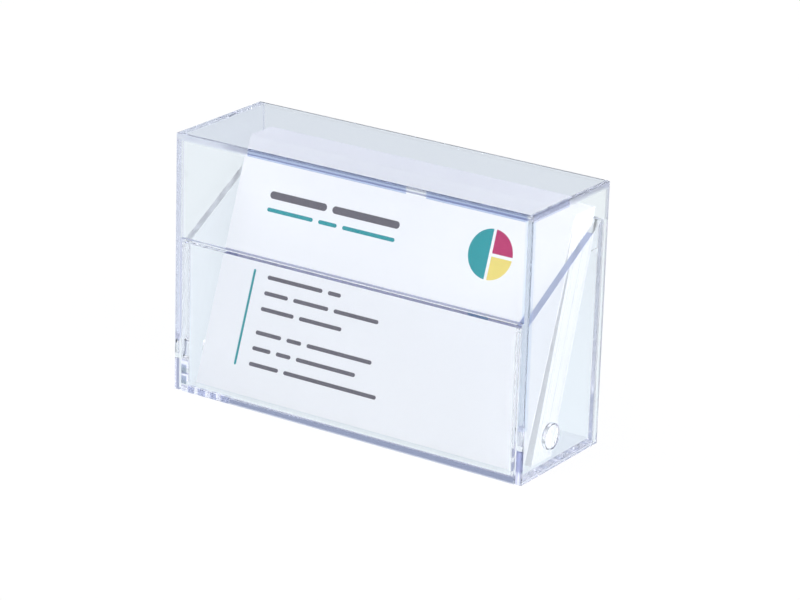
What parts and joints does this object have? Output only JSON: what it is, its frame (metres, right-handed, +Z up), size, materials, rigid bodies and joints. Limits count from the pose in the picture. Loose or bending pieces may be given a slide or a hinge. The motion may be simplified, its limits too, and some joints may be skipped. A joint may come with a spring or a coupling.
{
  "type": "business card holder stand",
  "caption": "Clear plastic card box: a tray with slanted sides holds leaning cards, and a hinged cover swings forward on low side studs to open it as a desk stand.",
  "frame": {"origin": "middle of the footprint, on the surface that the case stands on", "axes": "+X along the width, -Y out of the front, +Z up"},
  "size_m": [0.093, 0.0314, 0.0608],
  "materials": {
    "clear_plastic": "polished crystal-clear moulding",
    "card_paper": "smooth white card"
  },
  "bodies": {
    "tray": {"tray": "clear_plastic"},
    "cover": {"cover": "clear_plastic"},
    "cards": {"front_business_card": "card_paper", "business_card_01": "card_paper", "business_card_02": "card_paper", "business_card_03": "card_paper", "business_card_04": "card_paper", "business_card_05": "card_paper", "business_card_06": "card_paper", "business_card_07": "card_paper", "business_card_08": "card_paper", "business_card_09": "card_paper", "business_card_10": "card_paper", "business_card_11": "card_paper", "business_card_12": "card_paper", "business_card_13": "card_paper", "business_card_14": "card_paper", "business_card_15": "card_paper", "business_card_16": "card_paper", "business_card_17": "card_paper", "business_card_18": "card_paper", "business_card_19": "card_paper", "business_card_20": "card_paper", "business_card_21": "card_paper", "business_card_22": "card_paper", "business_card_23": "card_paper", "business_card_24": "card_paper"}
  },
  "joints": [
    {"name": "cover_hinge", "type": "hinge", "parent": "tray", "child": "cover", "pos_m": [0, -0.0037, 0.0078], "axis": [1, 0, 0], "range_deg": [0, 103.1]},
    {"name": "card_lift", "type": "slide", "parent": "tray", "child": "cards", "axis": [0, 0, 1], "range_m": [0, 0.004]}
  ]
}
